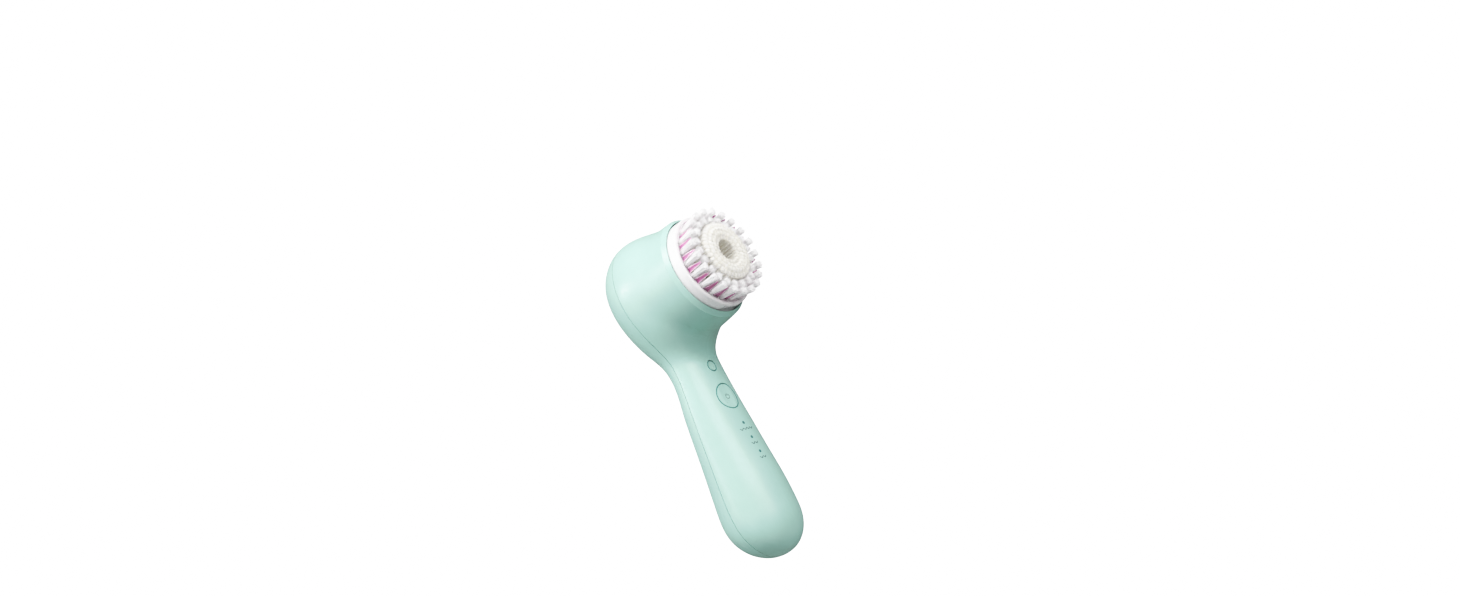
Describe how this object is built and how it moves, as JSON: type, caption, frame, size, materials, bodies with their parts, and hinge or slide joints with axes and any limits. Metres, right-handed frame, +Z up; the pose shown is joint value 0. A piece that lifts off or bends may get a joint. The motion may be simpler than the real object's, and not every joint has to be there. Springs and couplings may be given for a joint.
{
  "type": "facial cleansing brush",
  "caption": "Hand-held sonic facial brush with a curved one-piece handle and round head, a pull-off bristle head with a swinging middle, soft fingers and two push buttons.",
  "frame": {"origin": "under the middle of the bounding box, at the lowest point of the handle's round end", "axes": "+Z up along the handle, -Y the way the bristles point, +X across"},
  "size_m": [0.0524, 0.0668, 0.155],
  "materials": {
    "mint_shell": "satin",
    "mint_button": "satin",
    "white_plastic": "soft gloss",
    "white_bristle": "brushed nylon filament",
    "cream_bristle": "fine nylon filament",
    "pink_elastomer": "glossy",
    "grey_plastic": "moulded",
    "seal_rubber": "matt",
    "steel": "ground",
    "laminated_iron": "laminated",
    "magnet": "nickel plated",
    "bronze": "sintered",
    "copper_wire": "enamelled",
    "circuit_board": "solder mask",
    "component_black": "moulded",
    "clear_plastic": "clear",
    "cell_wrap": "shrink wrap",
    "lead_insulation": "insulated wire",
    "ferrite": "sintered",
    "pad_metal": "satin"
  },
  "bodies": {
    "handle": {"front_shell": "mint_shell", "back_shell": "mint_shell", "shell_gasket": "seal_rubber", "head_socket": "white_plastic", "shaft_seal": "seal_rubber", "socket_screws": "steel", "frame_screws": "steel", "motor_frame": "grey_plastic", "front_bush": "bronze", "rear_bush": "bronze", "stator_core": "laminated_iron", "coil_bobbin": "component_black", "stator_coil": "copper_wire", "return_blades": "steel", "button_guide": "grey_plastic", "main_board": "circuit_board", "board_screws": "steel", "power_switch": "component_black", "mode_switch": "component_black", "controller_chip": "component_black", "board_parts": "component_black", "status_leds": "clear_plastic", "light_pipes": "clear_plastic", "battery_cradle": "grey_plastic", "cradle_screw": "steel", "battery_cell": "cell_wrap", "battery_tabs": "steel", "charging_pad": "pad_metal", "charging_coil": "copper_wire", "dock_magnet": "magnet", "ferrite_sheet": "ferrite", "motor_leads": "lead_insulation", "battery_leads": "lead_insulation", "coil_leads": "lead_insulation"},
    "drive": {"drive_shaft": "steel", "shaft_clip": "steel", "drive_hub": "white_plastic", "armature": "laminated_iron", "armature_magnets": "magnet"},
    "brush_head": {"carrier_ring": "white_plastic", "head_retainer": "white_plastic", "outer_tufts": "white_bristle", "soft_fingers": "pink_elastomer", "second_row_tufts": "white_bristle"},
    "brush_core": {"core_disc": "white_plastic", "core_tufts": "cream_bristle", "core_hub": "white_plastic"},
    "power_button": {"power_button": "mint_button", "power_switch_plunger": "component_black"},
    "mode_button": {"mode_button": "mint_button", "mode_switch_plunger": "component_black"}
  },
  "joints": [
    {"name": "drive_oscillation", "type": "hinge", "parent": "handle", "child": "drive", "pos_m": [0, -0.01664, 0.1262], "axis": [0, -1, 0], "range_deg": [-8, 8], "stiffness_Nm_per_rad": 0.05},
    {"name": "head_release", "type": "slide", "parent": "handle", "child": "brush_head", "axis": [0, -1, 0], "range_m": [0, 0.03]},
    {"name": "core_oscillation", "type": "hinge", "parent": "brush_head", "child": "brush_core", "pos_m": [0, -0.01664, 0.1262], "axis": [0, -1, 0], "range_deg": [-8, 8]},
    {"name": "power_press", "type": "slide", "parent": "handle", "child": "power_button", "axis": [0, 0.9986, -0.0529], "range_m": [0, 0.00035], "stiffness_N_per_m": 300},
    {"name": "mode_press", "type": "slide", "parent": "handle", "child": "mode_button", "axis": [0, 0.9986, -0.0529], "range_m": [0, 0.00035], "stiffness_N_per_m": 300}
  ],
  "couplings": [
    {"joint": "core_oscillation", "follows": "drive_oscillation", "ratio": 1}
  ]
}
